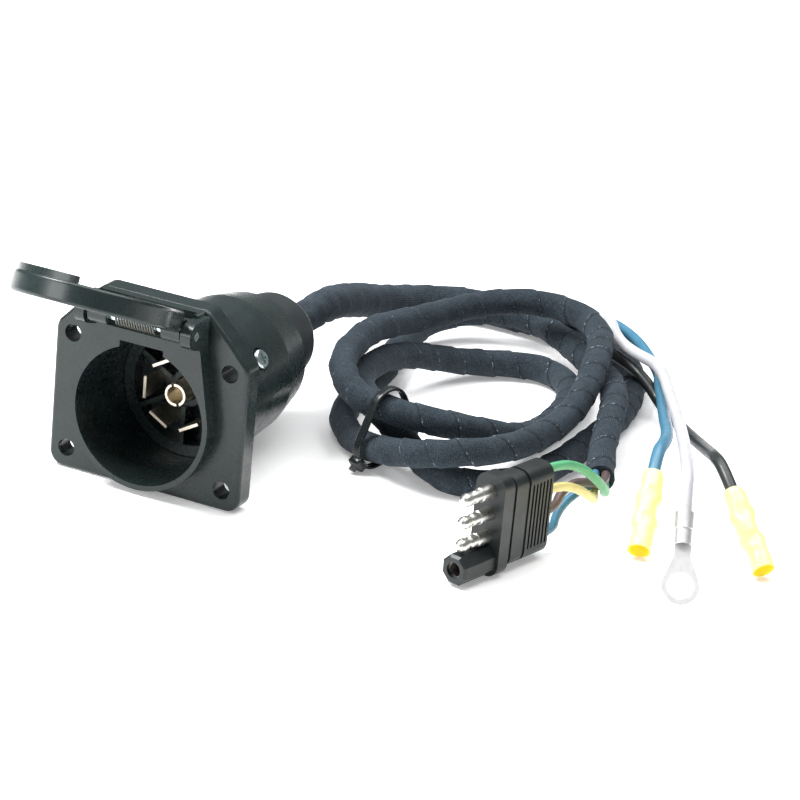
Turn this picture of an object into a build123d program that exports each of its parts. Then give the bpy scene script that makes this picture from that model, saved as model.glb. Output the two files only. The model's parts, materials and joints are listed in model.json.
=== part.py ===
"""Seven-way trailer socket with a taped harness, a flat four-way plug and three loose wires.

Frame: origin at the centre of the four flange bolts on the flange's rear face, +X to the right
seen from the front, +Y to the rear along the socket's axis, +Z up.  Everything rests on FLOOR_Z.
"""
import os
from math import cos, pi, radians, sin, tan

from build123d import *

os.makedirs("parts", exist_ok=True)

# ---- driving dimensions, millimetres -------------------------------------------------------
FLOOR_Z = -27.0            # lower edge of the flange, and the surface the harness lies on
BOLT_X = 58.0
BOLT_Z = 40.0
BOLT_D = 6.0
FLANGE_HALF = 35.5
FLANGE_T = 7.4
SHOULDER_Z = 22.5
ROOF_HALF = 19.0
ROOF_Z = 39.0
RIM_T = 5.6                # how far the bezel stands out of the flange
RIM_Y = -(FLANGE_T + RIM_T)
RIM_R = 25.3
BORE_R = 23.5
BARREL_R = 25.2
BARREL_Y = 32.5
INSERT_Y = 24.0
INSERT_T = 6.0
STEP_Y = 18.0              # front of the insert's raised ring
HINGE_Y = -17.0
HINGE_Z = 33.5
PIN_D = 3.0
EAR_IN = 17.6
EAR_OUT = 21.2
LID_R = 25.4
LID_V = 33.5               # hinge axis to lid centre
LID_OUT = -6.7             # lid's outer face, measured from the hinge axis
LID_IN = 0.3               # skirt's lower edge
LID_OPEN = 22.5            # how far the open lid stands above the horizontal, degrees
COVER_Y = 63.5
CAP_Y = 81.5
TRUNK_D = 13.0
SLEEVE_D = 10.0
WIRE_D = 4.2
PLUG_WIRE_D = 3.0
WRAP_X = 41.0
WRAP_L = 14.0
WRAP_R = 8.0
WRAP_CENTRE = (WRAP_X, 212.0, FLOOR_Z + WRAP_R)
BLADE_R = 11.5
CONTACT_TIP_Y = 11.0
CONTACT_END_Y = 36.0

# plug, standing on its narrow edge; its pins point to the front and a little to the left
PLUG_ORIGIN = (119.0, 0.0)
PLUG_TURN = -13.6
PLUG_PITCH = 7.6
PLUG_LOW = 5.6             # height of the moulded socket's axis above the floor
PLUG_BODY_L = 27.0
PIN_L = 14.0


def write(part, label):
    """Label one finished piece and write it as a STEP file of the same name."""
    part.label = label
    export_step(part, f"parts/{label}.step")


def above_floor(points):
    """Turn (x, y, height above the floor) into places in the model's frame."""
    return [(x, y, FLOOR_Z + height) for x, y, height in points]


# ---- flange housing ------------------------------------------------------------------------
def cut_round(radius, y_from, y_to):
    """A round cut on the socket's axis."""
    with BuildSketch(Plane.XZ.offset(-y_from)) as round_cut:
        Circle(radius)
    extrude(round_cut.sketch, amount=-(y_to - y_from), mode=Mode.SUBTRACT)


with BuildPart() as housing:
    with BuildSketch(Plane.XZ) as plate:
        with BuildLine():
            Polyline(
                (-FLANGE_HALF, FLOOR_Z), (FLANGE_HALF, FLOOR_Z), (FLANGE_HALF, SHOULDER_Z), (28, 30.5),
                (ROOF_HALF, ROOF_Z), (-ROOF_HALF, ROOF_Z), (-28, 30.5), (-FLANGE_HALF, SHOULDER_Z),
                close=True,
            )
        make_face()
        fillet(plate.vertices().group_by(Axis.Z)[0], 5)
        fillet(plate.vertices().group_by(Axis.Z)[-1], 2)
    extrude(amount=FLANGE_T)
    fillet(housing.faces().sort_by(Axis.Y)[0].outer_wire().edges(), 1.4)
    with BuildSketch(Plane.XZ.offset(FLANGE_T - 0.01)):
        Circle(RIM_R)
        with Locations((0, ROOF_Z - 1.5)):
            Rectangle(2 * 18.5, 3)
        make_hull()
    extrude(amount=RIM_T + 0.01)
    with BuildSketch(Plane.XZ):
        Circle(BARREL_R)
    extrude(amount=-BARREL_Y)
    # hinge ears, one each side of the lid
    for side in (-1, 1):
        start = EAR_IN if side > 0 else -EAR_OUT
        with BuildSketch(Plane.YZ.offset(start)):
            with Locations((HINGE_Y, HINGE_Z)):
                Circle(4.4)
            with Locations((RIM_Y + 3, 32.5)):
                Rectangle(2, 11)
            make_hull()
        extrude(amount=EAR_OUT - EAR_IN)
    cut_round(BORE_R, RIM_Y - 1, BARREL_Y + 1)
    # keyway at the top of the bore
    with BuildSketch(Plane.XZ.offset(-RIM_Y + 1)):
        with Locations((-0.5, 21.2)):
            Rectangle(16, 6)
    extrude(amount=-(STEP_Y - RIM_Y + 1), mode=Mode.SUBTRACT)
    # pocket under the roof, where the hinge knuckles turn
    with BuildSketch(Plane.XZ.offset(-RIM_Y + 1)):
        with Locations((0, 32.3)):
            Rectangle(2 * EAR_IN, 8.2)
    extrude(amount=-9.5, mode=Mode.SUBTRACT)
    with BuildSketch(Plane.XZ.offset(-RIM_Y + 1)):
        with Locations((0, 38)):
            Rectangle(2 * EAR_IN, 4)
    extrude(amount=-3.2, mode=Mode.SUBTRACT)
    with BuildSketch(Plane.XZ.offset(FLANGE_T + 1)):
        with GridLocations(BOLT_X, BOLT_Z, 2, 2):
            Circle(BOLT_D / 2)
    extrude(amount=-(FLANGE_T + 3), mode=Mode.SUBTRACT)
    with BuildSketch(Plane.YZ.offset(-EAR_OUT - 1)):
        with Locations((HINGE_Y, HINGE_Z)):
            Circle(PIN_D / 2 + 0.05)
    extrude(amount=2 * EAR_OUT + 2, mode=Mode.SUBTRACT)
    # side holes and flat seats for the two housing screws
    for turn in (31, 211):
        direction = (cos(radians(turn)), 0, sin(radians(turn)))
        seat = Plane(origin=(direction[0] * 24.0, 28, direction[2] * 24.0), z_dir=direction)
        with BuildSketch(seat):
            Circle(4.0)
        extrude(amount=4, mode=Mode.SUBTRACT)
        with BuildSketch(seat.offset(-4)):
            Circle(1.75)
        extrude(amount=6, mode=Mode.SUBTRACT)
write(housing.part, "flange_housing")

# ---- lid, built in its open position -------------------------------------------------------
LID_TILT = radians(LID_OPEN)
LID_PLANE = Plane(
    origin=(0, HINGE_Y, HINGE_Z),
    x_dir=(1, 0, 0),
    z_dir=(0, -sin(LID_TILT), -cos(LID_TILT)),
)


def lid_outline(inset):
    """The lid's round outline with straight sides running back to the hinge."""
    with Locations((0, LID_V)):
        Circle(LID_R - inset)
    with Locations((0, 9)):
        Rectangle(2 * (16.3 - inset), 14)
    make_hull()


with BuildPart() as lid:
    with BuildSketch(LID_PLANE.offset(LID_OUT)):
        lid_outline(0)
    extrude(amount=LID_IN - LID_OUT)
    fillet(lid.faces().sort_by(Axis.Z)[-1].edges(), 1.2)
    with BuildSketch(LID_PLANE.offset(LID_OUT + 2.6)):
        lid_outline(2.2)
    extrude(amount=10, mode=Mode.SUBTRACT)
    # raised finger grip round the left of the far edge
    with BuildSketch(LID_PLANE.offset(LID_OUT - 2.2)):
        with Locations((0, LID_V)):
            Circle(LID_R - 0.8)
            Circle(LID_R - 6.0, mode=Mode.SUBTRACT)
        with BuildLine():
            Polyline((0, LID_V), (13, LID_V + 60), (-60, LID_V + 60), (-60, LID_V - 10), close=True)
        make_face(mode=Mode.INTERSECT)
    extrude(amount=2.8)
    # knuckles round the pin, joined to the lid's root
    for centre in (-13.4, 13.4):
        with BuildSketch(Plane.YZ.offset(centre - 3.4)):
            with Locations((HINGE_Y, HINGE_Z)):
                Circle(3.4)
            with BuildLine():
                Polyline(
                    (HINGE_Y - 4.9, HINGE_Z + 4.6), (HINGE_Y + 0.8, HINGE_Z + 4.6),
                    (HINGE_Y + 3.0, HINGE_Z + 0.8), (HINGE_Y - 3.0, HINGE_Z - 0.8), close=True,
                )
            make_face()
        extrude(amount=6.8)
    with BuildSketch(Plane.YZ.offset(-EAR_OUT - 1)):
        with Locations((HINGE_Y, HINGE_Z)):
            Circle(PIN_D / 2 + 0.2)
    extrude(amount=2 * EAR_OUT + 2, mode=Mode.SUBTRACT)
    # room for the spring between the knuckles
    with BuildSketch(Plane.YZ.offset(-9)):
        with Locations((HINGE_Y, HINGE_Z)):
            Circle(4.0)
    extrude(amount=18, mode=Mode.SUBTRACT)
write(lid.part, "lid")

# soft seal inside the lid
with BuildPart() as seal:
    with BuildSketch(LID_PLANE.offset(LID_OUT + 2.6)):
        with Locations((0, LID_V)):
            Circle(LID_R - 3.2)
            Circle(LID_R - 6.6, mode=Mode.SUBTRACT)
    extrude(amount=2.6)
write(seal.part, "lid_seal")

with BuildPart() as pin:
    with BuildSketch(Plane.YZ.offset(-EAR_OUT)):
        with Locations((HINGE_Y, HINGE_Z)):
            Circle(PIN_D / 2)
    extrude(amount=2 * EAR_OUT)
write(pin.part, "hinge_pin")

# closing spring: a close-wound sleeve round the pin between the knuckles
with BuildPart() as spring:
    with BuildSketch(Plane.YZ.offset(-8.0)):
        with Locations((HINGE_Y, HINGE_Z)):
            Circle(3.3)
            Circle(2.2, mode=Mode.SUBTRACT)
    extrude(amount=16.0)
write(spring.part, "lid_spring")

# ---- contact insert, blades and centre contact ---------------------------------------------
with BuildPart() as insert:
    with BuildSketch(Plane.XZ.offset(-INSERT_Y)):
        Circle(BORE_R - 0.2)
    extrude(amount=-INSERT_T)
    with BuildSketch(Plane.XZ.offset(-INSERT_Y)):
        Circle(BORE_R - 0.2)
        Circle(19.5, mode=Mode.SUBTRACT)
    extrude(amount=INSERT_Y - STEP_Y)
    # hub that carries the centre contact
    with BuildSketch(Plane.XZ.offset(-INSERT_Y)):
        Circle(6.2)
        Circle(4.3, mode=Mode.SUBTRACT)
    extrude(amount=5.0)
    # partition walls between the blades
    with BuildSketch(Plane.XZ.offset(-INSERT_Y)):
        with PolarLocations(12.6, 6, start_angle=30):
            Rectangle(13.0, 1.5)
    extrude(amount=6.5)
    with BuildSketch(Plane.XZ.offset(-INSERT_Y)):
        with PolarLocations(BLADE_R, 6):
            Rectangle(1.1, 7.8)
        Circle(3.9)
    extrude(amount=-INSERT_T, mode=Mode.SUBTRACT)
    for turn in (31, 211):
        direction = (cos(radians(turn)), 0, sin(radians(turn)))
        with BuildSketch(Plane(origin=(direction[0] * 19, 28, direction[2] * 19), z_dir=direction)):
            Circle(1.6)
        extrude(amount=6, mode=Mode.SUBTRACT)
write(insert.part, "contact_insert")

for number in range(6):
    with BuildPart() as blade:
        with BuildSketch(Plane.XZ.offset(-CONTACT_TIP_Y)):
            with PolarLocations(BLADE_R, 1, start_angle=60 * number):
                Rectangle(1.0, 7.7)
        extrude(amount=-(CONTACT_END_Y - CONTACT_TIP_Y))
    write(blade.part, f"blade_contact_{number + 1}")

with BuildPart() as centre:
    with BuildSketch(Plane.XZ.offset(-CONTACT_TIP_Y)):
        Circle(3.8)
        Circle(3.0, mode=Mode.SUBTRACT)
        Rectangle(1.0, 9, rotation=20, mode=Mode.SUBTRACT)
    extrude(amount=-15)
    with BuildSketch(Plane.XZ.offset(-CONTACT_TIP_Y - 15)):
        Circle(3.8)
    extrude(amount=-(CONTACT_END_Y - CONTACT_TIP_Y - 15))
write(centre.part, "centre_contact")

# ---- rear cover, its cord grommet and the two screws ---------------------------------------
with BuildPart() as cover:
    with BuildSketch(Plane.XY):
        with BuildLine():
            Polyline(
                (20.8, INSERT_Y + INSERT_T), (BORE_R - 0.2, INSERT_Y + INSERT_T), (BORE_R - 0.2, BARREL_Y),
                (BARREL_R, BARREL_Y), (24.6, 46.0), (21.6, COVER_Y - 2.0), (19.6, COVER_Y),
                (11.0, COVER_Y), (11.0, COVER_Y - 2.5), (18.6, COVER_Y - 2.5), (20.8, 46.0), close=True,
            )
        make_face()
    revolve(axis=Axis.Y)
write(cover.part, "rear_cover")

with BuildPart() as grommet:
    with BuildSketch(Plane.XZ.offset(-COVER_Y)):
        Circle(18.8)
    with BuildSketch(Plane.XZ.offset(-CAP_Y + 4)):
        with Locations((1.0, 2.0)):
            Circle(15.4)
    with BuildSketch(Plane.XZ.offset(-CAP_Y)):
        with Locations((1.0, 2.0)):
            Circle(13.2)
    loft(ruled=True)
write(grommet.part, "cord_grommet")

for number, turn in enumerate((31, 211)):
    direction = (cos(radians(turn)), 0, sin(radians(turn)))
    seat = Plane(origin=(direction[0] * 24.0, 28, direction[2] * 24.0), z_dir=direction)
    with BuildPart() as screw:
        with BuildSketch(seat):
            Circle(3.3)
        extrude(amount=2.2)
        fillet(screw.edges().sort_by(lambda e: -(e.center().X ** 2 + e.center().Z ** 2))[0], 0.9)
        with BuildSketch(seat):
            Circle(1.5)
        extrude(amount=-4.5)
        with BuildSketch(seat.offset(1.2)):
            Rectangle(3.8, 0.9)
            Rectangle(0.9, 3.8)
        extrude(amount=2, mode=Mode.SUBTRACT)
    write(screw.part, f"housing_screw_{number + 1}")

# ---- harness -------------------------------------------------------------------------------
# Routes are (x, y, height of the centre line above the floor), from the socket outwards.
TRUNK = [
    (1, 81.5, 29), (1, 99, 29), (-1, 120, 28.5), (-4.5, 142, 22.5), (-7.5, 164, 16), (-8.5, 184, 9.5),
    (-2, 201, 6.5), (12, 210.5, 6.5), (27, 212, 6.5), (41, 212, 6.5),
]
BRANCH = [
    (55, 211, 5.2), (68, 211, 5.2), (83, 199, 5), (95, 182, 5), (102, 161, 5), (106, 138, 5),
    (106.5, 116, 5), (106, 95, 5), (104.5, 77, 5), (100, 63, 5), (91.5, 54, 5), (79.5, 52.5, 5),
    (66, 61, 6.5), (52.5, 69, 11.5), (39.5, 76, 15.2), (30, 87, 15.6), (25, 103, 15.6), (26, 121, 15),
    (31, 137, 11.5), (38, 151, 7), (47.5, 163, 5), (59, 169, 5), (71, 167.5, 5), (80, 158, 5),
    (86, 143, 5), (88.5, 125, 5), (89, 107, 6), (88, 90, 9.5), (82, 74.5, 15.5), (70.5, 63.5, 19),
    (55, 60, 20.5), (41, 61.5, 22), (31.5, 70, 25), (25.5, 83, 26.3), (22.5, 99, 26.3),
    (21.5, 115, 26.2), (24, 132, 24), (29, 149, 23), (35, 165, 23.5), (43.5, 178, 24),
    (55, 185.5, 23.5), (68, 186, 23), (79.5, 178, 22.5), (88, 163, 22.5), (94, 145, 23.4),
    (99, 126, 21), (102, 106, 17.5), (102.5, 87, 17), (100.5, 70, 17), (94, 56, 17), (82.5, 48, 16),
    (68.5, 47, 12.5), (54, 54, 8), (40, 64.5, 5), (29.5, 77, 5), (24, 92, 5), (22.5, 109, 5),
    (20, 127, 5), (16, 144, 5.5), (12.5, 161, 6.5), (13.5, 178, 8.5), (22, 192, 10.5),
    (35.5, 198.5, 11.5), (50.5, 197.5, 11), (64, 190, 9.5), (76, 180, 8.5), (88, 167, 9.5),
    (98, 150, 14.3), (108, 130, 16.2), (114, 111, 15.5), (119, 93, 12), (126.5, 74.5, 10),
]
BLUE_WIRE = [
    (55, 216.4, 11.8), (66, 216.4, 11.8), (77, 211.7, 11.5), (87.5, 202.7, 11), (97.1, 190.5, 10.5),
    (106, 176.5, 11.5), (112, 161.3, 13.6), (118, 148.9, 13.6), (124, 135.1, 14.8), (130, 121.1, 16.8),
    (135.9, 107.6, 19.4), (141, 93.9, 22.4), (144.6, 82, 24.9), (145.7, 73.5, 25), (147.8, 66.3, 20),
]
WHITE_WIRE = [
    (55, 212, 13.5), (66, 212, 13.5), (75.4, 202.9, 16.9), (83.1, 187.5, 18.1), (91.9, 175.4, 18.9),
    (100.3, 169.6, 19), (107.5, 166.5, 18.8), (114.6, 157.7, 18.6), (123.2, 140.7, 19.6),
    (132.4, 122.6, 21.6), (141.2, 104, 24), (148.5, 87.8, 26.5), (155.5, 71.8, 29), (162, 56.3, 31.2),
    (167, 44.2, 32), (168.8, 39.7, 30.2), (171.2, 34.4, 23.3),
]
BLACK_WIRE = [
    (55, 207.6, 11.8), (64, 207.6, 11.8), (71.8, 198.2, 12.1), (79.8, 186.8, 12.7), (88.5, 177.1, 13.8),
    (97.9, 170.8, 13.6), (106.3, 167.2, 9.6), (112.4, 163.6, 5.4), (120.6, 154.5, 5), (130.3, 141, 7.2),
    (139.4, 126.7, 10.6), (147.2, 113.2, 14.4), (153.5, 101, 18.2), (158.8, 90, 22), (163.4, 80.3, 25.2),
    (168.3, 74.1, 25.2), (174.3, 69, 20),
]
TIE_PLACE = (54, 61, FLOOR_Z + 13.3)
TIE_TURN = 158.8           # direction the three strands take through the tie
TIE_STRANDS = [(-6.1, -3.0), (0.1, 7.2), (5.7, -5.2)]
TIE_W = 4.4
TIE_INNER = 6.6
TIE_OUTER = 7.9

# the four plug wires leave the sleeve side by side and fan out to the back of the plug
SPLIT = Vector(126.5, 74.5, FLOOR_Z + 10)
SPLIT_AIM = Vector(7.5, -18.5, -2).normalized()
SPLIT_SIDE = Vector(18.5, 7.5, 0).normalized()
SPLIT_UP = SPLIT_AIM.cross(SPLIT_SIDE)
SPLIT_GAP = 1.75
PLUG_WIRES = {
    "plug_wire_blue": (-1, 1, 0, [(126, 58.5, 11), (124.5, 50, 9), (125, 42, 7)]),
    "plug_wire_brown": (1, 1, 1, [(129, 58.5, 14.5), (126.5, 50.5, 16.5), (125.5, 42.5, 15)]),
    "plug_wire_yellow": (-1, -1, 2, [(131, 59.5, 8.5), (132.5, 52, 12.5), (130.5, 43.5, 18)]),
    "plug_wire_green": (1, -1, 3, [(134.5, 60, 12.5), (134, 52, 19), (131, 43.5, 25.5)]),
}


def cord(places, diameter, label):
    """A tube along a route whose corners are rounded as far as its runs allow."""
    radii = []
    for before, here, after in zip(places, places[1:], places[2:]):
        run_in = Vector(*here) - Vector(*before)
        run_out = Vector(*after) - Vector(*here)
        half_turn = radians(run_in.get_angle(run_out)) / 2
        radii.append(0.45 * min(run_in.length, run_out.length) / tan(half_turn))
    with BuildPart() as tube:
        with BuildLine() as route:
            FilletPolyline(*places, radius=radii)
        path = route.wire()
        with BuildSketch(Plane(origin=path @ 0, z_dir=path % 0)):
            Circle(diameter / 2)
        sweep(path=path)
    length = path.length
    share = tube.part.volume / (pi * diameter ** 2 / 4 * length)
    print(f"{label}: {length:.0f} mm, smallest radius {min(radii):.1f} mm, volume share {share:.3f}")
    write(tube.part, label)


cord(above_floor(TRUNK), TRUNK_D, "trunk_sleeve")
cord(above_floor(BRANCH), SLEEVE_D, "branch_sleeve")
cord(above_floor(BLUE_WIRE), WIRE_D, "loose_wire_blue")
cord(above_floor(WHITE_WIRE), WIRE_D, "loose_wire_white")
cord(above_floor(BLACK_WIRE), WIRE_D, "loose_wire_black")

plug_place = Location((PLUG_ORIGIN[0], PLUG_ORIGIN[1], FLOOR_Z), (0, 0, PLUG_TURN))
plug_back = (sin(radians(-PLUG_TURN)), cos(radians(PLUG_TURN)))
for label, (side, rise, row, middle) in PLUG_WIRES.items():
    start = SPLIT + SPLIT_SIDE * (SPLIT_GAP * side) + SPLIT_UP * (SPLIT_GAP * rise)
    second = start + SPLIT_AIM * 7
    height = FLOOR_Z + PLUG_LOW + PLUG_PITCH * row
    ends = [
        (PLUG_ORIGIN[0] + plug_back[0] * back, PLUG_ORIGIN[1] + plug_back[1] * back, height)
        for back in (PLUG_BODY_L + 9, PLUG_BODY_L)
    ]
    cord([tuple(start), tuple(second)] + above_floor(middle) + ends, PLUG_WIRE_D, label)

with BuildPart() as wrap:
    with BuildSketch(Plane(origin=WRAP_CENTRE, z_dir=(1, 0, 0))):
        Circle(WRAP_R)
    extrude(amount=WRAP_L)
write(wrap.part, "breakout_wrap")

tie_along = (cos(radians(TIE_TURN)), sin(radians(TIE_TURN)), 0)
tie_plane = Plane(origin=TIE_PLACE, x_dir=(-tie_along[1], tie_along[0], 0), z_dir=tie_along)
with BuildPart() as tie:
    with BuildSketch(tie_plane.offset(-TIE_W / 2)):
        with Locations(*TIE_STRANDS):
            Circle(TIE_OUTER)
        make_hull()
    extrude(amount=TIE_W)
    with BuildSketch(tie_plane.offset(-TIE_W / 2)):
        with Locations(*TIE_STRANDS):
            Circle(TIE_INNER)
        make_hull()
    extrude(amount=TIE_W, mode=Mode.SUBTRACT)
write(tie.part, "cable_tie")


# ---- flat four-way plug --------------------------------------------------------------------
# Built with its front face at y = 0, its pins towards -y and its height up from z = 0.
PLUG_FLANGE_H = 34.0
PLUG_FLANGE_W = 11.6
PLUG_GRIP_H = 31.0
PLUG_GRIP_W = 10.4
PIN_R = 2.3
SOCKET_R = 5.2
SOCKET_L = 15.0
with BuildPart() as plug:
    with BuildSketch(Plane.XZ):
        with Locations((0, PLUG_FLANGE_H / 2)):
            RectangleRounded(PLUG_FLANGE_W, PLUG_FLANGE_H, 4.5)
    extrude(amount=-5)
    with BuildSketch(Plane.XZ.offset(-5)):
        with Locations((0, PLUG_FLANGE_H / 2)):
            RectangleRounded(PLUG_GRIP_W - 1, PLUG_GRIP_H - 1, 4)
    extrude(amount=-2)
    with BuildSketch(Plane.XZ.offset(-7)):
        with Locations((0, PLUG_FLANGE_H / 2)):
            RectangleRounded(PLUG_GRIP_W, PLUG_GRIP_H, 4.2)
    extrude(amount=-(PLUG_BODY_L - 7))
    chamfer(plug.faces().sort_by(Axis.Y)[-1].edges(), 1)
    # band groove round the middle
    with BuildSketch(Plane.XZ.offset(-13)):
        with Locations((0, PLUG_FLANGE_H / 2)):
            Rectangle(14, 36)
            RectangleRounded(PLUG_GRIP_W - 1, PLUG_GRIP_H - 1, 4, mode=Mode.SUBTRACT)
    extrude(amount=-1.2, mode=Mode.SUBTRACT)
    # finger grooves on both wide sides
    for side in (-1, 1):
        with BuildSketch(Plane.YZ.offset(side * PLUG_GRIP_W / 2)):
            with Locations((20.2, PLUG_FLANGE_H / 2)):
                with GridLocations(1.75, 0, 6, 1):
                    SlotOverall(22, 0.9, rotation=90)
        extrude(amount=0.6, both=True, mode=Mode.SUBTRACT)
    # moulded socket for the lowest contact
    with BuildSketch(Plane.XZ):
        with Locations((0, PLUG_LOW)):
            RegularPolygon(SOCKET_R, 8, rotation=22.5)
    extrude(amount=SOCKET_L)
    chamfer(plug.faces().sort_by(Axis.Y)[0].edges(), 0.8)
    with BuildSketch(Plane.XZ.offset(SOCKET_L)):
        with Locations((0, PLUG_LOW)):
            Circle(2.6)
    extrude(amount=-(SOCKET_L + 4), mode=Mode.SUBTRACT)
    with BuildSketch(Plane.XZ):
        with Locations(*[(0, PLUG_LOW + PLUG_PITCH * row) for row in (1, 2, 3)]):
            Circle(PIN_R + 0.01)
    extrude(amount=-4, mode=Mode.SUBTRACT)
write(plug.part.moved(plug_place), "plug_body")

for row in (1, 2, 3):
    axis_z = PLUG_LOW + row * PLUG_PITCH
    with BuildPart() as pin:
        with BuildSketch(Plane.YZ):
            with BuildLine():
                Polyline(
                    (4, axis_z), (4, axis_z + PIN_R), (-5.4, axis_z + PIN_R), (-5.8, axis_z + 2.0),
                    (-8.2, axis_z + 2.0), (-9.0, axis_z + 1.5), (-9.8, axis_z + 1.5), (-10.6, axis_z + 2.1),
                    (-12.2, axis_z + 2.15), (-13.4, axis_z + 1.7), (-PIN_L, axis_z + 0.9), (-PIN_L, axis_z),
                    close=True,
                )
            make_face()
        revolve(axis=Axis((0, 0, axis_z), (0, 1, 0)))
    write(pin.part.moved(plug_place), f"plug_pin_{row}")

with BuildPart() as sleeve:
    with BuildSketch(Plane.XZ.offset(SOCKET_L - 1.5)):
        with Locations((0, PLUG_LOW)):
            Circle(2.6)
            Circle(2.3, mode=Mode.SUBTRACT)
    extrude(amount=-(SOCKET_L + 2.5))
write(sleeve.part.moved(plug_place), "plug_socket_contact")


# ---- crimped ends of the loose wires -------------------------------------------------------
def end_plane(route):
    """The plane across the far end of a route, looking on along it."""
    before, last = [Vector(*place) for place in above_floor(route[-2:])]
    return Plane(origin=last, x_dir=(0.911, 0.411, 0), z_dir=last - before)


CONNECTOR_L = 30.4
CONNECTOR_BORE = 2.9
for colour, route in (("blue", BLUE_WIRE), ("black", BLACK_WIRE)):
    mouth = end_plane(route)
    with BuildPart() as connector:
        with BuildSketch(Plane.XZ):
            with BuildLine():
                Polyline(
                    (0, 0), (3.3, 0), (3.7, 1.5), (3.7, 8), (3.25, 11), (3.25, 24), (3.75, 27),
                    (3.75, CONNECTOR_L), (3.1, CONNECTOR_L), (CONNECTOR_BORE, 26),
                    (CONNECTOR_BORE, 4), (0, 4), close=True,
                )
            make_face()
        revolve(axis=Axis.Z)
    write(connector.part.moved(mouth.location), f"butt_connector_{colour}")
    with BuildPart() as barrel:
        with BuildSketch(Plane.XY.offset(4)):
            Circle(CONNECTOR_BORE)
            Circle(2.3, mode=Mode.SUBTRACT)
        extrude(amount=18)
    write(barrel.part.moved(mouth.location), f"connector_barrel_{colour}")

RING_R = 6.0
RING_HOLE_R = 4.3
RING_L = 24.0
TONGUE_T = 0.9
with BuildPart() as ring:
    with BuildSketch(Plane.XY):
        Circle(3.2)
    extrude(amount=1)
    with BuildSketch(Plane.XY.offset(1)):
        Circle(3.2)
        Circle(2.4, mode=Mode.SUBTRACT)
    extrude(amount=4.5)
    with BuildSketch(Plane.XY.offset(5.5)):
        Circle(2.9)
        Circle(2.1, mode=Mode.SUBTRACT)
    extrude(amount=5)
    with BuildSketch(Plane.XZ):
        with BuildLine():
            Polyline((-2.8, 9), (2.8, 9), (2.6, 14), (5.2, 21), (-5.2, 21), (-2.6, 14), close=True)
        make_face()
        with Locations((0, RING_L)):
            Circle(RING_R)
            Circle(RING_HOLE_R, mode=Mode.SUBTRACT)
    extrude(amount=TONGUE_T / 2, both=True)
write(ring.part.moved(end_plane(WHITE_WIRE).location), "ring_terminal")
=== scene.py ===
"""Looks for the trailer socket: materials, the taped harness, its wires and their crimped ends.

Metres throughout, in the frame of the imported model: +Y to the rear along the socket, +Z up.
"""
import json
from math import copysign, cos, pi, radians, sin

import bpy
from mathutils import Matrix, Vector, noise


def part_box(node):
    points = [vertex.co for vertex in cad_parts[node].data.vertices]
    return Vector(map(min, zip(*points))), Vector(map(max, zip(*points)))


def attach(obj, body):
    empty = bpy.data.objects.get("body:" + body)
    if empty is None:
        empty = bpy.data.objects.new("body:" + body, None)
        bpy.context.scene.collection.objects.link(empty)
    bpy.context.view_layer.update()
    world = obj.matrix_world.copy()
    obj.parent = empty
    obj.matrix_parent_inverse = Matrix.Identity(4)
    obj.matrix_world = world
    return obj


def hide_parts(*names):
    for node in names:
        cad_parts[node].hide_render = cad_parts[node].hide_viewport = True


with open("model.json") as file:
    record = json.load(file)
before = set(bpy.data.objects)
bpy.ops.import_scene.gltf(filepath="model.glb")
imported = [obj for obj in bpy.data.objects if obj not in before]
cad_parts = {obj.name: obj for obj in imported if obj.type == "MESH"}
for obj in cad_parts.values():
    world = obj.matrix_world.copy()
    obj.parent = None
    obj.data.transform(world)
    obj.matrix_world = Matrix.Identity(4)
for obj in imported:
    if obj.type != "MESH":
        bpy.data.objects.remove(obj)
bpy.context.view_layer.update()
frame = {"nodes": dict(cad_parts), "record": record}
nodes = frame["nodes"]
ROOT = "socket_and_harness"
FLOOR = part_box("flange_housing")[0][2]

# ---- sizes ---------------------------------------------------------------------------------
TRUNK_D = 0.013
SLEEVE_D = 0.010
WIRE_D = 0.0042
PLUG_WIRE_D = 0.003
WRAP_R = 0.008
WRAP_FROM = Vector((0.041, 0.212, FLOOR + WRAP_R))
WRAP_L = 0.014
PLUG_PITCH = 0.0076
PLUG_LOW = 0.0056
PLUG_ORIGIN = Vector((0.119, 0, FLOOR))
PLUG_BACK = Vector((sin(radians(13.6)), cos(radians(13.6)), 0))
PLUG_BODY_L = 0.027
PLUG_RUN_IN = 0.009
SPLIT_RUN = 0.007
CRIMP_L = 0.0304
CRIMP_R = 0.0036
CRIMP_EDGE = 0.0015
CRIMP_EDGE_DROP = 0.0005
CRIMP_FLARE_FROM = 0.025
CRIMP_FLARE = 0.0002
CRIMP_BOW = 0.00028
CRIMP_BOW_RATE = 330
CRIMP_DEPTH = 0.001
CRIMP_SPREAD = 0.75
CRIMP_SQUEEZE = 0.5
CRIMP_RINGS = 46
CRIMP_WAISTS = ((0.0095, 0.0030), (0.0195, 0.0026))
CRIMP_BORE = ((0.0305, 0.0034), (0.0300, 0.0031), (0.0270, 0.0029), (0.0235, 0.0027))
SPRING_TURNS = 15
SPRING_COIL_R = 0.0025
SPRING_WIRE_D = 0.0007
SPRING_LEG_R = 0.00295
SPRING_LEG_D = 0.0006
TIE_PLACE = Vector((0.054, 0.061, FLOOR + 0.0133))
TIE_TURN = radians(158.8)
TIE_STRANDS = [(-0.0061, -0.003), (0.0001, 0.0072), (0.0057, -0.0052)]
TIE_R = 0.0072
TIE_WIDE = 0.0032
TIE_THICK = 0.0011
TIE_TOOTH = 0.0001
TIE_HEAD_TURN = radians(-38)
TIE_HEAD_OUT = 0.0006
TAPE_STEP = 0.0009

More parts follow.
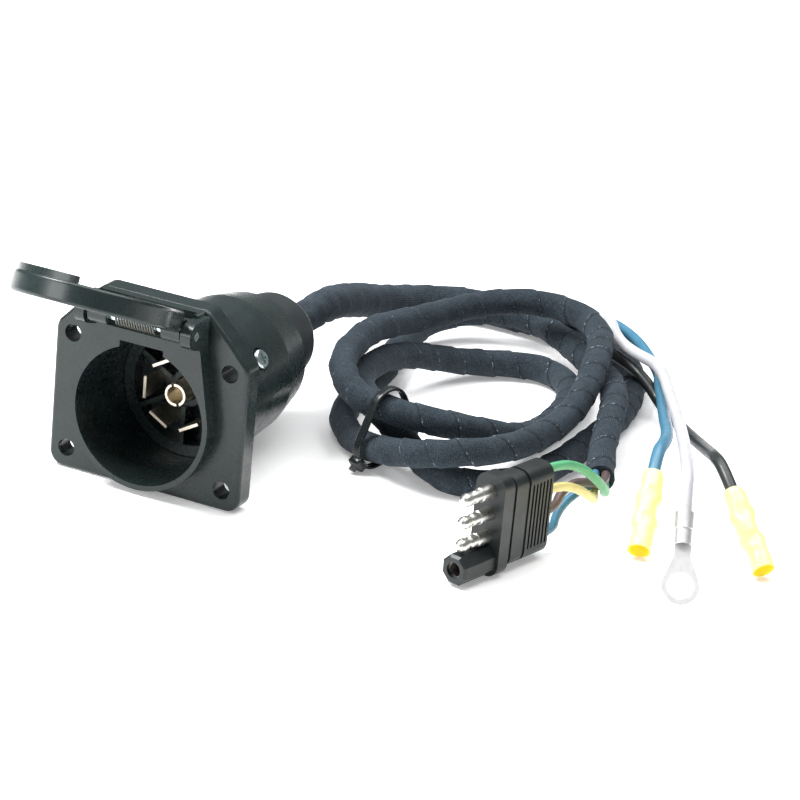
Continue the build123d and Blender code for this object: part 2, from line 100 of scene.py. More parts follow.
# ---- cord routes: (x, y, height of the centre line above the floor) ------------------------
TRUNK = [
    (0.001, 0.0815, 0.029), (0.001, 0.099, 0.029), (-0.001, 0.12, 0.0285), (-0.0045, 0.142, 0.0225),
    (-0.0075, 0.164, 0.016), (-0.0085, 0.184, 0.0095), (-0.002, 0.201, 0.0065), (0.012, 0.2105, 0.0065),
    (0.027, 0.212, 0.0065), (0.041, 0.212, 0.0065),
]
BRANCH = [
    (0.055, 0.211, 0.0052), (0.068, 0.211, 0.0052), (0.083, 0.199, 0.005), (0.095, 0.182, 0.005),
    (0.102, 0.161, 0.005), (0.106, 0.138, 0.005), (0.1065, 0.116, 0.005), (0.106, 0.095, 0.005),
    (0.1045, 0.077, 0.005), (0.1, 0.063, 0.005), (0.0915, 0.054, 0.005), (0.0795, 0.0525, 0.005),
    (0.066, 0.061, 0.0065), (0.0525, 0.069, 0.0115), (0.0395, 0.076, 0.0152), (0.03, 0.087, 0.0156),
    (0.025, 0.103, 0.0156), (0.026, 0.121, 0.015), (0.031, 0.137, 0.0115), (0.038, 0.151, 0.007),
    (0.0475, 0.163, 0.005), (0.059, 0.169, 0.005), (0.071, 0.1675, 0.005), (0.08, 0.158, 0.005),
    (0.086, 0.143, 0.005), (0.0885, 0.125, 0.005), (0.089, 0.107, 0.006), (0.088, 0.09, 0.0095),
    (0.082, 0.0745, 0.0155), (0.0705, 0.0635, 0.019), (0.055, 0.06, 0.0205), (0.041, 0.0615, 0.022),
    (0.0315, 0.07, 0.025), (0.0255, 0.083, 0.0263), (0.0225, 0.099, 0.0263), (0.0215, 0.115, 0.0262),
    (0.024, 0.132, 0.024), (0.029, 0.149, 0.023), (0.035, 0.165, 0.0235), (0.0435, 0.178, 0.024),
    (0.055, 0.1855, 0.0235), (0.068, 0.186, 0.023), (0.0795, 0.178, 0.0225), (0.088, 0.163, 0.0225),
    (0.094, 0.145, 0.0234), (0.099, 0.126, 0.021), (0.102, 0.106, 0.0175), (0.1025, 0.087, 0.017),
    (0.1005, 0.07, 0.017), (0.094, 0.056, 0.017), (0.0825, 0.048, 0.016), (0.0685, 0.047, 0.0125),
    (0.054, 0.054, 0.008), (0.04, 0.0645, 0.005), (0.0295, 0.077, 0.005), (0.024, 0.092, 0.005),
    (0.0225, 0.109, 0.005), (0.02, 0.127, 0.005), (0.016, 0.144, 0.0055), (0.0125, 0.161, 0.0065),
    (0.0135, 0.178, 0.0085), (0.022, 0.192, 0.0105), (0.0355, 0.1985, 0.0115), (0.0505, 0.1975, 0.011),
    (0.064, 0.19, 0.0095), (0.076, 0.18, 0.0085), (0.088, 0.167, 0.0095), (0.098, 0.15, 0.0143),
    (0.108, 0.13, 0.0162), (0.114, 0.111, 0.0155), (0.119, 0.093, 0.012), (0.1265, 0.0745, 0.01),
]
BLUE_WIRE = [
    (0.055, 0.2164, 0.0118), (0.066, 0.2164, 0.0118), (0.077, 0.2117, 0.0115), (0.0875, 0.2027, 0.011),
    (0.0971, 0.1905, 0.0105), (0.106, 0.1765, 0.0115), (0.112, 0.1613, 0.0136), (0.118, 0.1489, 0.0136),
    (0.124, 0.1351, 0.0148), (0.13, 0.1211, 0.0168), (0.1359, 0.1076, 0.0194), (0.141, 0.0939, 0.0224),
    (0.1446, 0.082, 0.0249), (0.1457, 0.0735, 0.025), (0.1478, 0.0663, 0.02),
]
WHITE_WIRE = [
    (0.055, 0.212, 0.0135), (0.066, 0.212, 0.0135), (0.0754, 0.2029, 0.0169), (0.0831, 0.1875, 0.0181),
    (0.0919, 0.1754, 0.0189), (0.1003, 0.1696, 0.019), (0.1075, 0.1665, 0.0188), (0.1146, 0.1577, 0.0186),
    (0.1232, 0.1407, 0.0196), (0.1324, 0.1226, 0.0216), (0.1412, 0.104, 0.024), (0.1485, 0.0878, 0.0265),
    (0.1555, 0.0718, 0.029), (0.162, 0.0563, 0.0312), (0.167, 0.0442, 0.032), (0.1688, 0.0397, 0.0302),
    (0.1712, 0.0344, 0.0233),
]
BLACK_WIRE = [
    (0.055, 0.2076, 0.0118), (0.064, 0.2076, 0.0118), (0.0718, 0.1982, 0.0121), (0.0798, 0.1868, 0.0127),
    (0.0885, 0.1771, 0.0138), (0.0979, 0.1708, 0.0136), (0.1063, 0.1672, 0.0096), (0.1124, 0.1636, 0.0054),
    (0.1206, 0.1545, 0.005), (0.1303, 0.141, 0.0072), (0.1394, 0.1267, 0.0106), (0.1472, 0.1132, 0.0144),
    (0.1535, 0.101, 0.0182), (0.1588, 0.09, 0.022), (0.1634, 0.0803, 0.0252), (0.1683, 0.0741, 0.0252),
    (0.1743, 0.069, 0.02),
]
# The four plug wires leave the sleeve side by side and fan out to the back of the plug.
SPLIT = Vector((0.1265, 0.0745, FLOOR + 0.010))
SPLIT_AIM = Vector((7.5, -18.5, -2)).normalized()
SPLIT_SIDE = Vector((18.5, 7.5, 0)).normalized()
SPLIT_UP = SPLIT_AIM.cross(SPLIT_SIDE)
SPLIT_GAP = 0.00175
PLUG_WIRES = {
    "blue": (-1, 1, 0, [(0.126, 0.0585, 0.011), (0.1245, 0.05, 0.009), (0.125, 0.042, 0.007)]),
    "brown": (1, 1, 1, [(0.129, 0.0585, 0.0145), (0.1265, 0.0505, 0.0165), (0.1255, 0.0425, 0.015)]),
    "yellow": (-1, -1, 2, [(0.131, 0.0595, 0.0085), (0.1325, 0.052, 0.0125), (0.1305, 0.0435, 0.018)]),
    "green": (1, -1, 3, [(0.1345, 0.06, 0.0125), (0.134, 0.052, 0.019), (0.131, 0.0435, 0.0255)]),
}


# ---- camera, light and floor ---------------------------------------------------------------
def set_camera():
    """The camera stands 1.1 m off, low on the right, rolled a little to the left."""
    azimuth = radians(24.232)
    elevation = radians(21.0)
    roll = radians(-5.5755)
    distance = 1.1
    aim = Vector((0.0842, 0.0054, 0))
    focus = Vector((0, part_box("flange_housing")[0][1] + 0.008, 0))
    back = Vector((sin(azimuth) * cos(elevation), -cos(azimuth) * cos(elevation), sin(elevation)))
    right = (-back).cross(Vector((0, 0, 1))).normalized()
    up = right.cross(-back)
    x_axis = right * cos(roll) - up * sin(roll)
    y_axis = right * sin(roll) + up * cos(roll)
    place = focus + x_axis * aim.x + y_axis * aim.y + back * distance
    lens = bpy.data.cameras.new("camera")
    lens.lens = 154.43
    lens.clip_start = 0.01
    camera = bpy.data.objects.new("camera", lens)
    bpy.context.collection.objects.link(camera)
    turn = Matrix((x_axis, y_axis, back)).transposed()
    camera.matrix_world = Matrix.Translation(place) @ turn.to_4x4()
    bpy.context.scene.camera = camera


def add_light(name, place, size, power, target):
    """A square soft box aimed at a point."""
    lamp = bpy.data.lights.new(name, "AREA")
    lamp.size = size
    lamp.energy = power
    light = bpy.data.objects.new(name, lamp)
    light.location = place
    light.rotation_euler = (Vector(target) - Vector(place)).to_track_quat("-Z", "Y").to_euler()
    bpy.context.collection.objects.link(light)


def set_studio():
    """Soft boxes above, left and behind, a dim surround and a white floor."""
    centre = (0.06, 0.1, 0)
    add_light("key", (-0.5, -0.2, 0.85), 0.4, 15, centre)
    add_light("top", (0.1, 0.35, 1.2), 1.3, 22, centre)
    add_light("front", (-0.45, -0.9, 0.35), 0.5, 5.2, centre)
    world = bpy.data.worlds.new("surround")
    world.use_nodes = True
    world.node_tree.nodes["Background"].inputs["Color"].default_value = (0.95, 0.98, 1, 1)
    world.node_tree.nodes["Background"].inputs["Strength"].default_value = 0.25
    bpy.context.scene.world = world
    bpy.context.scene.view_settings.view_transform = "Standard"
    bpy.ops.mesh.primitive_plane_add(size=6, location=(0, 0, FLOOR - 0.0002))
    floor = bpy.context.object
    floor.name = "floor"
    paper = Surface("floor_paper", (0.95, 0.95, 0.95), 0.8)
    paper.shader.inputs["Emission Color"].default_value = (1, 1, 1, 1)
    paper.shader.inputs["Emission Strength"].default_value = 0.25
    floor.data.materials.append(paper.material)


# ---- materials -----------------------------------------------------------------------------
class Surface:
    """A procedural material: a base colour that varies a little, with roughness and bump."""

    def __init__(self, name, colour, roughness, metallic=0.0):
        self.material = bpy.data.materials.new(name)
        self.material.use_nodes = True
        self.tree = self.material.node_tree
        self.shader = self.tree.nodes["Principled BSDF"]
        self.shader.inputs["Base Color"].default_value = (*colour, 1)
        self.shader.inputs["Roughness"].default_value = roughness
        self.shader.inputs["Metallic"].default_value = metallic
        self.height = None

    def node(self, kind, **settings):
        """A new node with the settings given; input names use spaces."""
        made = self.tree.nodes.new(kind)
        for key, value in settings.items():
            if hasattr(made, key):
                setattr(made, key, value)
            else:
                made.inputs[key.replace("_", " ")].default_value = value
        return made

    def link(self, out, into):
        self.tree.links.new(out, into)

    def place(self):
        """Position on the piece, in metres, so that patterns stay with it."""
        if "Texture Coordinate" not in self.tree.nodes:
            self.node("ShaderNodeTexCoord")
        return self.tree.nodes["Texture Coordinate"].outputs["Object"]

    def cells(self, scale, detail=4.0, rough=0.6):
        """Fine noise at a scale in cycles per metre."""
        grain = self.node("ShaderNodeTexNoise", Scale=scale, Detail=detail, Roughness=rough)
        self.link(self.place(), grain.inputs["Vector"])
        return grain.outputs["Fac"]

    def spread(self, value, low, high, start=0.3, end=0.7):
        """The value carried from one range to another."""
        ramp = self.node("ShaderNodeMapRange", From_Min=start, From_Max=end, To_Min=low, To_Max=high)
        self.link(value, ramp.inputs["Value"])
        return ramp.outputs["Result"]

    def vary_colour(self, value, dark, light):
        """Base colour from dark to light as the value goes from 0 to 1."""
        mix = self.node("ShaderNodeMix", data_type="RGBA")
        mix.inputs[6].default_value = (*dark, 1)
        mix.inputs[7].default_value = (*light, 1)
        self.link(value, mix.inputs[0])
        self.link(mix.outputs[2], self.shader.inputs["Base Color"])
        return mix

    def vary_roughness(self, value):
        self.link(value, self.shader.inputs["Roughness"])

    def bump(self, value, distance, strength=1.0):
        """Height in metres from a value; calls add up."""
        step = self.node("ShaderNodeBump", Strength=strength, Distance=distance)
        self.link(value, step.inputs["Height"])
        if self.height:
            self.link(self.height, step.inputs["Normal"])
        self.height = step.outputs["Normal"]
        self.link(self.height, self.shader.inputs["Normal"])


def moulded_plastic(name, colour, roughness, grain=0.000014):
    """Dark moulded plastic: fine spark texture, faint flow marks and uneven gloss."""
    made = Surface(name, colour, roughness)
    made.shader.inputs["Specular IOR Level"].default_value = 0.42
    flow = made.spread(made.cells(60, 3), 0, 1)
    lighter = tuple(c * 1.45 + 0.004 for c in colour)
    made.vary_colour(flow, colour, lighter)
    made.vary_roughness(made.spread(made.cells(220, 2), roughness - 0.05, roughness + 0.07))
    made.bump(made.cells(1300, 1), grain)
    made.bump(made.cells(90, 2), 0.0003, 0.25)
    return made.material


def jacket(name, colour, roughness=0.34):
    """Smooth PVC wire covering with slight waviness and handling marks."""
    made = Surface(name, colour, roughness)
    made.shader.inputs["Coat Weight"].default_value = 0.15
    made.shader.inputs["Coat Roughness"].default_value = 0.2
    deeper = tuple(c * 0.82 for c in colour)
    made.vary_colour(made.spread(made.cells(170, 4), 0, 1), deeper, colour)
    made.vary_roughness(made.spread(made.cells(700, 4), roughness - 0.06, roughness + 0.12))
    made.bump(made.cells(300, 2), 0.00012, 0.6)
    return made.material


def bright_metal(name, colour, roughness, scratch=900):
    """Plated or turned metal: fine scratches and slightly uneven tone."""
    made = Surface(name, colour, roughness, 1.0)
    duller = tuple(c * 0.92 for c in colour)
    made.vary_colour(made.spread(made.cells(300, 4), 0, 1), duller, colour)
    made.vary_roughness(made.spread(made.cells(scratch, 5), roughness - 0.04, roughness + 0.08))
    made.bump(made.cells(scratch, 2), 0.000004, 0.3)
    return made.material


def cloth_tape(name):
    """Woven cloth tape wound in a spiral: weave, overlap edges with painted shade just past each one,
    creases and loose pale threads.
    """
    made = Surface(name, (0.030, 0.038, 0.052), 0.85)
    made.shader.inputs["Specular IOR Level"].default_value = 0.25
    made.shader.inputs["Sheen Weight"].default_value = 0.08
    made.shader.inputs["Sheen Roughness"].default_value = 0.45
    made.shader.inputs["Sheen Tint"].default_value = (0.6, 0.7, 0.85, 1)
    layout = made.node("ShaderNodeUVMap", uv_map="along")
    # weave: two sets of threads crossing along and across the tape
    weave = made.node("ShaderNodeTexWave", bands_direction="X", Scale=470.0, Distortion=1.4)
    made.link(layout.outputs["UV"], weave.inputs["Vector"])
    weft = made.node("ShaderNodeTexWave", bands_direction="Y", Scale=470.0, Distortion=1.4)
    made.link(layout.outputs["UV"], weft.inputs["Vector"])
    cross = made.node("ShaderNodeMath", operation="MULTIPLY")
    made.link(weave.outputs["Fac"], cross.inputs[0])
    made.link(weft.outputs["Fac"], cross.inputs[1])
    # the winding map counts turns of tape: each whole number is an overlap edge
    winding = made.node("ShaderNodeUVMap", uv_map="winding")
    turns = made.node("ShaderNodeSeparateXYZ")
    made.link(winding.outputs["UV"], turns.inputs["Vector"])
    phase = made.node("ShaderNodeMath", operation="FRACT")
    made.link(turns.outputs["X"], phase.inputs[0])
    # painted shade: this mask is strongest just past each overlap edge, where the turn lying on top would
    # shade the turn beneath
    edge = made.node("ShaderNodeMapRange", From_Min=0.0, From_Max=0.07, To_Min=0.95, To_Max=0.0)
    made.link(phase.outputs[0], edge.inputs["Value"])
    heather = made.node("ShaderNodeMath", operation="MULTIPLY_ADD")
    made.link(cross.outputs[0], heather.inputs[0])
    heather.inputs[1].default_value = 0.45
    made.link(made.spread(made.cells(1500, 3), -0.45, 0.6), heather.inputs[2])
    blotch = made.node("ShaderNodeMath", operation="ADD")
    made.link(made.spread(made.cells(95, 6, 0.75), -0.15, 0.65), blotch.inputs[0])
    made.link(heather.outputs[0], blotch.inputs[1])
    tone = made.vary_colour(blotch.outputs[0], (0.011, 0.018, 0.024), (0.036, 0.050, 0.064))
    # painted shade: a near-black colour is mixed in along that band past each overlap edge
    shade = made.node("ShaderNodeMix", data_type="RGBA")
    shade.inputs[7].default_value = (0.006, 0.008, 0.012, 1)
    made.link(tone.outputs[2], shade.inputs[6])
    made.link(edge.outputs["Result"], shade.inputs[0])
    # frayed threads: broken pale flecks that hug the overlap edges
    fleck = made.node("ShaderNodeMapRange", From_Min=0.55, From_Max=0.62, To_Min=0.0, To_Max=1.0)
    made.link(made.cells(700, 4), fleck.inputs["Value"])
    near = made.node("ShaderNodeMapRange", From_Min=0.945, From_Max=0.985, To_Min=0.0, To_Max=1.0)
    made.link(phase.outputs[0], near.inputs["Value"])
    thread = made.node("ShaderNodeMath", operation="MULTIPLY")
    made.link(fleck.outputs["Result"], thread.inputs[0])
    made.link(near.outputs["Result"], thread.inputs[1])
    light = made.node("ShaderNodeMix", data_type="RGBA")
    light.inputs[7].default_value = (0.22, 0.26, 0.29, 1)
    made.link(shade.outputs[2], light.inputs[6])
    made.link(thread.outputs[0], light.inputs[0])
    made.link(light.outputs[2], made.shader.inputs["Base Color"])
    made.bump(cross.outputs[0], 0.00018, 0.9)
    made.bump(made.cells(900, 3), 0.0001, 0.7)
    made.bump(made.cells(230, 4), 0.0007, 0.6)
    return made.material


def clear_nylon(name, colour):
    """Translucent nylon of the crimp connectors, with a painted glow and painted shade inside the bore."""
    made = Surface(name, colour, 0.28)
    made.shader.inputs["Subsurface Weight"].default_value = 0.7
    made.shader.inputs["Subsurface Radius"].default_value = (1.0, 0.85, 0.3)
    made.shader.inputs["Subsurface Scale"].default_value = 0.006
    # painted glow: a faint yellow emission lightens the nylon as if lit from within
    made.shader.inputs["Emission Color"].default_value = (1.0, 0.85, 0.2, 1)
    made.shader.inputs["Emission Strength"].default_value = 0.12
    made.shader.inputs["Coat Weight"].default_value = 0.25
    skin = made.vary_colour(made.spread(made.cells(220, 3), 0, 1), tuple(c * 0.93 for c in colour), colour)
    # painted shade: the bore's inner wall takes a darker amber, as shade inside the connector's mouth
    bore = made.node("ShaderNodeAttribute", attribute_name="bore")
    bore_shade = made.node("ShaderNodeMix", data_type="RGBA")
    bore_shade.inputs[7].default_value = (0.85, 0.55, 0.02, 1)
    made.link(skin.outputs[2], bore_shade.inputs[6])
    made.link(bore.outputs["Fac"], bore_shade.inputs[0])
    made.link(bore_shade.outputs[2], made.shader.inputs["Base Color"])
    made.bump(made.cells(500, 3), 0.0001, 0.6)
    return made.material


MATERIALS = {
    "housing_plastic": moulded_plastic("charcoal_plastic", (0.0085, 0.0155, 0.0150), 0.27),
    "plug_rubber": moulded_plastic("plug_rubber", (0.0095, 0.0130, 0.0132), 0.36),
    "grommet_rubber": moulded_plastic("grommet_rubber", (0.012, 0.016, 0.018), 0.48),
    "seal_rubber": moulded_plastic("seal_rubber", (0.018, 0.020, 0.021), 0.62),
    "tie_nylon": moulded_plastic("tie_nylon", (0.008, 0.011, 0.0115), 0.24, 0.000005),
    "contact_metal": bright_metal("contact_metal", (0.88, 0.80, 0.66), 0.30),
    "pin_metal": bright_metal("pin_plate", (0.68, 0.67, 0.63), 0.30),
    "tinned_copper": bright_metal("tin_plate", (0.93, 0.93, 0.92), 0.42),
    "screw_steel": bright_metal("zinc_steel", (0.60, 0.70, 0.71), 0.24),
    "spring_steel": bright_metal("spring_steel", (0.11, 0.11, 0.10), 0.42),
    "cloth_tape": cloth_tape("cloth_tape"),
    "connector_nylon": clear_nylon("yellow_nylon", (0.97, 0.88, 0.36)),
    "blue_jacket": jacket("blue_jacket", (0.055, 0.20, 0.31)),
    "white_jacket": jacket("white_jacket", (0.57, 0.57, 0.60)),
    "black_jacket": jacket("black_jacket", (0.014, 0.018, 0.018), 0.42),
    "green_jacket": jacket("green_jacket", (0.10, 0.42, 0.19)),
    "yellow_jacket": jacket("yellow_jacket", (0.90, 0.75, 0.30)),
    "brown_jacket": jacket("brown_jacket", (0.10, 0.065, 0.065)),
}


def paint(piece, slot):
    """Gives a new piece the material kept under the record's slot name."""
    piece.data.materials.clear()
    piece.data.materials.append(MATERIALS[slot])


# ---- small pieces --------------------------------------------------------------------------
def frame_at(origin, aim, side):
    """A 4x4 with its z axis along aim and its x axis as near to side as it can be."""
    z_axis = aim.normalized()
    x_axis = (side - z_axis * side.dot(z_axis)).normalized()
    turn = Matrix((x_axis, z_axis.cross(x_axis), z_axis)).transposed().to_4x4()
    return Matrix.Translation(origin) @ turn


def rounded(angle, power):
    """A point on a unit outline: a circle at power 1, ever squarer below it."""
    across, over = cos(angle), sin(angle)
    return copysign(abs(across) ** power, across), copysign(abs(over) ** power, over)


def skin(name, rows, closed=False):
    """A smooth mesh over rows of points, capped at its ends or closed into a loop."""
    around = len(rows[0])
    faces = []
    for i in range(len(rows) if closed else len(rows) - 1):
        here, after = i * around, (i + 1) % len(rows) * around
        for j in range(around):
            k = (j + 1) % around
            faces.append((here + j, here + k, after + k, after + j))
    if not closed:
        faces.append(tuple(reversed(range(around))))
        faces.append(tuple(range((len(rows) - 1) * around, len(rows) * around)))
    mesh = bpy.data.meshes.new(name)
    mesh.from_pydata([point for row in rows for point in row], [], faces)
    for face in mesh.polygons:
        face.use_smooth = len(face.vertices) == 4
    return mesh


def show(mesh, slot):
    """Puts a mesh in the scene with its material."""
    made = bpy.data.objects.new(mesh.name, mesh)
    bpy.context.collection.objects.link(made)
    paint(made, slot)
    return made


def ring_rows(place, rings, around=40, power=1.0):
    """Rows for oval rings: each is (travel, half width, half height, shift)."""
    rows = []
    for travel, wide, high, shift in rings:
        outline = [rounded(2 * pi * j / around, power) for j in range(around)]
        rows.append([place @ Vector((wide * x + shift, high * y, travel)) for x, y in outline])
    return rows


def make_connector(colour, route):
    """A butt connector: two crimped waists, a flared mouth and a bore that shows at the end."""
    places = route_places(route)
    place = frame_at(places[-1], places[-1] - places[-2], Vector((0.9, 0.41, 0)))
    rings = []
    for i in range(CRIMP_RINGS):
        travel = CRIMP_L * i / (CRIMP_RINGS - 1)
        radius = CRIMP_R
        if travel < CRIMP_EDGE:
            radius -= CRIMP_EDGE_DROP * (1 - travel / CRIMP_EDGE)
        if travel > CRIMP_FLARE_FROM:
            radius += CRIMP_FLARE * min(1, (travel - CRIMP_FLARE_FROM) / CRIMP_EDGE)
        pinch = sum(CRIMP_DEPTH * max(0, 1 - ((travel - at) / wide) ** 2) for at, wide in CRIMP_WAISTS)
        bow = CRIMP_BOW * sin(travel * CRIMP_BOW_RATE)
        rings.append((travel, radius + CRIMP_SPREAD * pinch, radius - CRIMP_SQUEEZE * pinch, bow))
    outside = len(rings)
    rings += [(travel, radius, radius, 0) for travel, radius in CRIMP_BORE]
    rows = ring_rows(place, rings)
    mesh = skin(f"crimp_{colour}", rows)
    # marks the bore's inner rings for the painted shade in the nylon material
    depth = mesh.attributes.new("bore", "FLOAT", "POINT")
    for i in range(len(mesh.vertices)):
        depth.data[i].value = 1.0 if i > outside * len(rows[0]) else 0.0
    made = show(mesh, "connector_nylon")
    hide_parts(f"butt_connector_{colour}")
    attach(made, ROOT)
    return made


def rod(name, places, thickness, slot):
    """A round rod bent through the points given."""
    curve = bpy.data.curves.new(name, "CURVE")
    curve.dimensions = "3D"
    curve.bevel_depth = thickness / 2
    curve.bevel_resolution = 3
    curve.use_fill_caps = True
    spline = curve.splines.new("POLY")
    spline.points.add(len(places) - 1)
    for point, place in zip(spline.points, places):
        point.co = (*place, 1)
    return show(curve, slot)


def make_spring():
    """The lid's torsion spring: a close dark coil round the pin, and a bright leg along it."""
    low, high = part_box("lid_spring")
    axis = Vector((0, (low[1] + high[1]) / 2, (low[2] + high[2]) / 2))
    margin = Vector((0.0008, 0, 0))
    start = Vector((low[0], 0, 0)) + axis + margin
    end = Vector((high[0], 0, 0)) + axis - margin
    steps = SPRING_TURNS * 16
    coil = []
    for i in range(steps + 1):
        angle = 2 * pi * i / 16
        out = Vector((0, cos(angle), sin(angle))) * SPRING_COIL_R
        coil.append(start.lerp(end, i / steps) + out)
    made = rod("spring_coil", coil, SPRING_WIRE_D, "spring_steel")
    lift = Vector((0, cos(radians(130)), sin(radians(130)))) * SPRING_LEG_R
    leg = rod("spring_leg", [start + lift, end + lift], SPRING_LEG_D, "pin_metal")
    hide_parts("lid_spring")
    for piece in (made, leg):
        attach(piece, ROOT)


def make_tie():
    """The cable tie: a thin toothed band pulled round three strands, its head and cut tail."""
    along = Vector((cos(TIE_TURN), sin(TIE_TURN), 0))
    place = frame_at(TIE_PLACE, along, Vector((-along.y, along.x, 0)))
    loop = []
    for i in range(241):
        angle = 2 * pi * i / 240
        out = Vector((cos(angle), sin(angle), 0))
        strand = max((Vector((*spot, 0)) for spot in TIE_STRANDS), key=out.dot)
        loop.append(strand + out * TIE_R)
    spots = resample(loop, 0.0005)[:-1]
    rows = []
    for i, spot in enumerate(spots):
        aim = (spots[(i + 1) % len(spots)] - spots[i - 1]).normalized()
        out = aim.cross(Vector((0, 0, 1)))
        tooth = TIE_TOOTH * (i % 2)
        row = []
        for j in range(20):
            x, y = rounded(2 * pi * j / 20, 0.45)
            thick = TIE_THICK / 2 + (tooth if x > 0.3 and abs(y) < 0.9 else 0)
            row.append(place @ (spot + out * (x * thick) - Vector((0, 0, y * TIE_WIDE / 2))))
        rows.append(row)
    band = show(skin("tie_band", rows, closed=True), "tie_nylon")
    out = Vector((cos(TIE_HEAD_TURN), sin(TIE_HEAD_TURN), 0))
    middle = Vector((*TIE_STRANDS[2], 0)) + out * (TIE_R + TIE_HEAD_OUT)
    head_place = place @ frame_at(middle, out, Vector((0, 0, 1)))
    rings = [(-0.0016, 0.0021, 0.0021, 0), (-0.0013, 0.0025, 0.0026, 0), (0.0013, 0.0025, 0.0026, 0)]
    rings += [(0.0017, 0.0020, 0.0021, 0), (0.0017, 0.0013, 0.0008, 0), (0.0034, 0.0013, 0.0006, 0)]
    head = show(skin("tie_head", ring_rows(head_place, rings, 24, 0.4)), "tie_nylon")
    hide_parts("cable_tie")
    for piece in (band, head):
        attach(piece, ROOT)
    return [band, head]


# ---- cords ---------------------------------------------------------------------------------
def route_places(points):
    """Route points with their heights counted from the floor."""
    return [Vector((x, y, FLOOR + height)) for x, y, height in points]


def spline_object(name, places, thickness=0.0):
    """A curve object whose smooth line has the route's points as control points."""
    curve = bpy.data.curves.new(name, "CURVE")
    curve.dimensions = "3D"
    curve.resolution_u = 24
    spline = curve.splines.new("NURBS")
    spline.points.add(len(places) - 1)
    for point, place in zip(spline.points, places):
        point.co = (*place, 1)
    spline.order_u = 3
    spline.use_endpoint_u = True
    curve.bevel_depth = thickness / 2
    curve.bevel_resolution = 6
    curve.use_fill_caps = True
    made = bpy.data.objects.new(name, curve)
    bpy.context.collection.objects.link(made)
    return made


def centre_line(places):
    """Evenly close points read from the route's own spline."""
    guide = spline_object("guide", places)
    bpy.context.view_layer.update()
    mesh = bpy.data.meshes.new_from_object(guide.evaluated_get(bpy.context.evaluated_depsgraph_get()))
    line = [v.co.copy() for v in mesh.vertices]
    bpy.data.meshes.remove(mesh)
    bpy.data.objects.remove(guide)
    return line


def resample(line, step):
    """Points a fixed step apart along a line."""
    spots = [line[0]]
    left = step
    for start, end in zip(line, line[1:]):
        run = (end - start).length
        done = 0.0
        while run - done >= left:
            done += left
            spots.append(start.lerp(end, done / run))
            left = step
        left -= run - done
    if (spots[-1] - line[-1]).length > step / 2:
        spots.append(line[-1])
    return spots


def length_of(line):
    return sum((b - a).length for a, b in zip(line, line[1:]))


def winding_at(travel, pitch):
    """How many turns of tape have gone on by this point; the lap is a little uneven."""
    return travel / pitch + 0.22 * sin(travel * 61) + 0.13 * sin(travel * 143 + 1)


def taped_tube(name, line, radius_at, around=32, pitch=0.0125, lap=0.00042):
    """A tube wound with tape: each turn laps over the last, so its edge stands proud."""
    spots = resample(line, TAPE_STEP)
    side = Vector((0, 0, 1))
    rows = []
    marks = []
    travel = 0.0
    for i, spot in enumerate(spots):
        aim = (spots[min(i + 1, len(spots) - 1)] - spots[max(i - 1, 0)]).normalized()
        side = (side - aim * side.dot(aim)).normalized()
        over = aim.cross(side)
        if i:
            travel += (spot - spots[i - 1]).length
        marks.append(travel)
        row = []
        for j in range(around):
            angle = 2 * pi * j / around
            phase = (winding_at(travel, pitch) - j / around) % 1.0
            radius = radius_at(travel, angle) + lap * (phase ** 1.5 - 0.7)
            row.append(spot + (side * cos(angle) + over * sin(angle)) * radius)
        rows.append(row)
    mesh = skin(name, rows)
    along = mesh.uv_layers.new(name="along")
    winding = mesh.uv_layers.new(name="winding")
    for face in mesh.polygons:
        closes = len(face.vertices) == 4 and any(v % around == around - 1 for v in face.vertices)
        for loop in face.loop_indices:
            ring, step = divmod(mesh.loops[loop].vertex_index, around)
            if closes and step == 0:
                step = around
            along.data[loop].uv = (marks[ring], step / around * pi * SLEEVE_D)
            winding.data[loop].uv = (winding_at(marks[ring], pitch) - step / around, step / around)
    return show(mesh, "cloth_tape")


def rumple(radius, amount, seed, near=0.0):
    """A radius that creases: long soft dents, deeper near the start when asked."""
    def at(travel, angle):
        more = 1 + near * max(0.0, 1 - travel / 0.055)
        spot = Vector((cos(angle) * 1.1, sin(angle) * 1.1 + seed, travel * 70))
        fine = Vector((cos(angle) * 2.6, sin(angle) * 2.6, travel * 330 + seed))
        dent = noise.noise(spot) + 0.4 * noise.noise(fine)
        return radius - amount * more * (0.4 + 0.6 * dent)
    return at


def wrap_radius(travel, angle):
    """The break-out's tape swells in the middle and is drawn in at both ends."""
    swell = sin(pi * min(1.0, max(0.0, travel / WRAP_L))) ** 0.35
    ripple = noise.noise(Vector((cos(angle) * 2, sin(angle) * 2, travel * 300)))
    return 0.0066 + 0.0011 * swell + 0.0002 * ripple


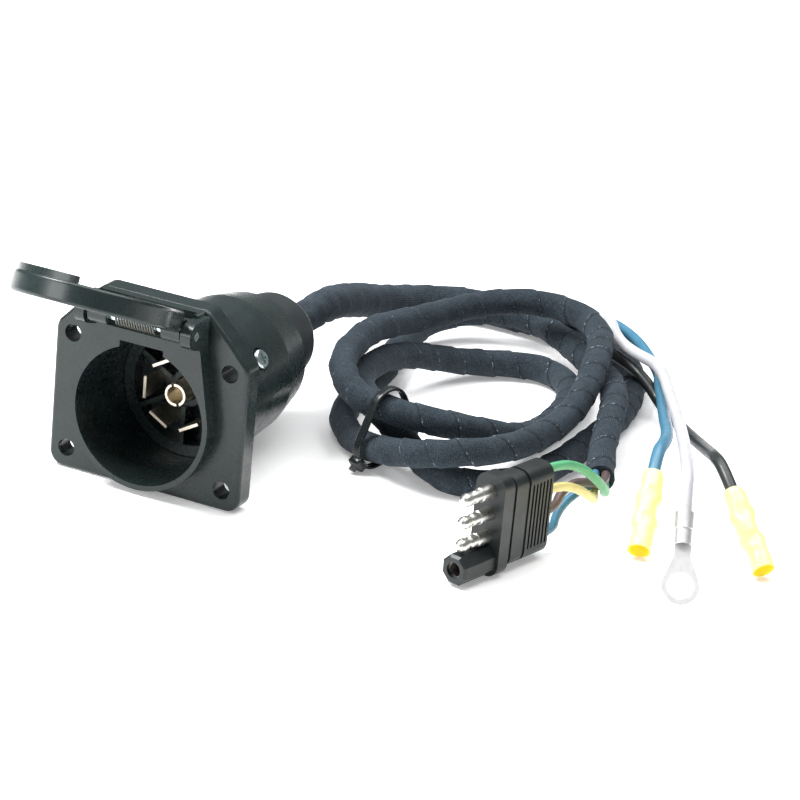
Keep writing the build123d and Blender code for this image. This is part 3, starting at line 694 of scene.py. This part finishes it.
def make_harness():
    """Trunk, taped break-out and the long branch."""
    trunk_places = route_places(TRUNK)
    trunk_line = centre_line(trunk_places)
    trunk = taped_tube("trunk", trunk_line, rumple(TRUNK_D / 2, 0.00042, 3.0, 3.4), 48, 0.012)
    branch_places = route_places(BRANCH)
    branch_line = centre_line(branch_places)
    branch = taped_tube("branch", branch_line, rumple(SLEEVE_D / 2, 0.00040, 9.0), 36)
    wrap_line = [WRAP_FROM + Vector((WRAP_L * i / 20, 0, 0)) for i in range(21)]
    wrap = taped_tube("wrap", wrap_line, wrap_radius, 48, 0.005)
    for piece, node in ((trunk, "trunk_sleeve"), (branch, "branch_sleeve"), (wrap, "breakout_wrap")):
        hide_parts(node)
        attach(piece, ROOT)
    make_tie()


def wire(name, places, diameter, slot, node):
    """One bare wire as a free cord along its route."""
    made = spline_object(name, places, diameter)
    paint(made, slot)
    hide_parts(node)
    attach(made, ROOT)
    length_of(centre_line(places))


def make_wires():
    """Three loose wires with their crimped ends, and four wires to the plug."""
    loose = {
        "blue": (BLUE_WIRE, [make_connector("blue", BLUE_WIRE), nodes["connector_barrel_blue"]]),
        "white": (WHITE_WIRE, [nodes["ring_terminal"]]),
        "black": (BLACK_WIRE, [make_connector("black", BLACK_WIRE), nodes["connector_barrel_black"]]),
    }
    for colour, (points, ends) in loose.items():
        wire(
            f"loose_{colour}", route_places(points), WIRE_D, f"{colour}_jacket",
            f"loose_wire_{colour}",
        )
    for colour, (side, rise, row, middle) in PLUG_WIRES.items():
        start = SPLIT + SPLIT_SIDE * (SPLIT_GAP * side) + SPLIT_UP * (SPLIT_GAP * rise)
        end = PLUG_ORIGIN + PLUG_BACK * PLUG_BODY_L + Vector((0, 0, PLUG_LOW + PLUG_PITCH * row))
        places = [start, start + SPLIT_AIM * SPLIT_RUN]
        places += [*route_places(middle), end + PLUG_BACK * PLUG_RUN_IN, end]
        wire(
            f"plug_{colour}", places, PLUG_WIRE_D, f"{colour}_jacket",
            f"plug_wire_{colour}",
        )


# ---- CAD nodes that stay -------------------------------------------------------------------
def paint_nodes():
    """Every CAD node that stays visible takes the material of its record slot."""
    slots = {entry["node"]: entry["material_slot"] for entry in frame["record"]["subparts"]}
    for name, node in nodes.items():
        node.data.materials.clear()
        node.data.materials.append(MATERIALS[slots[name]])


paint_nodes()
set_camera()
set_studio()
make_spring()
make_harness()
make_wires()
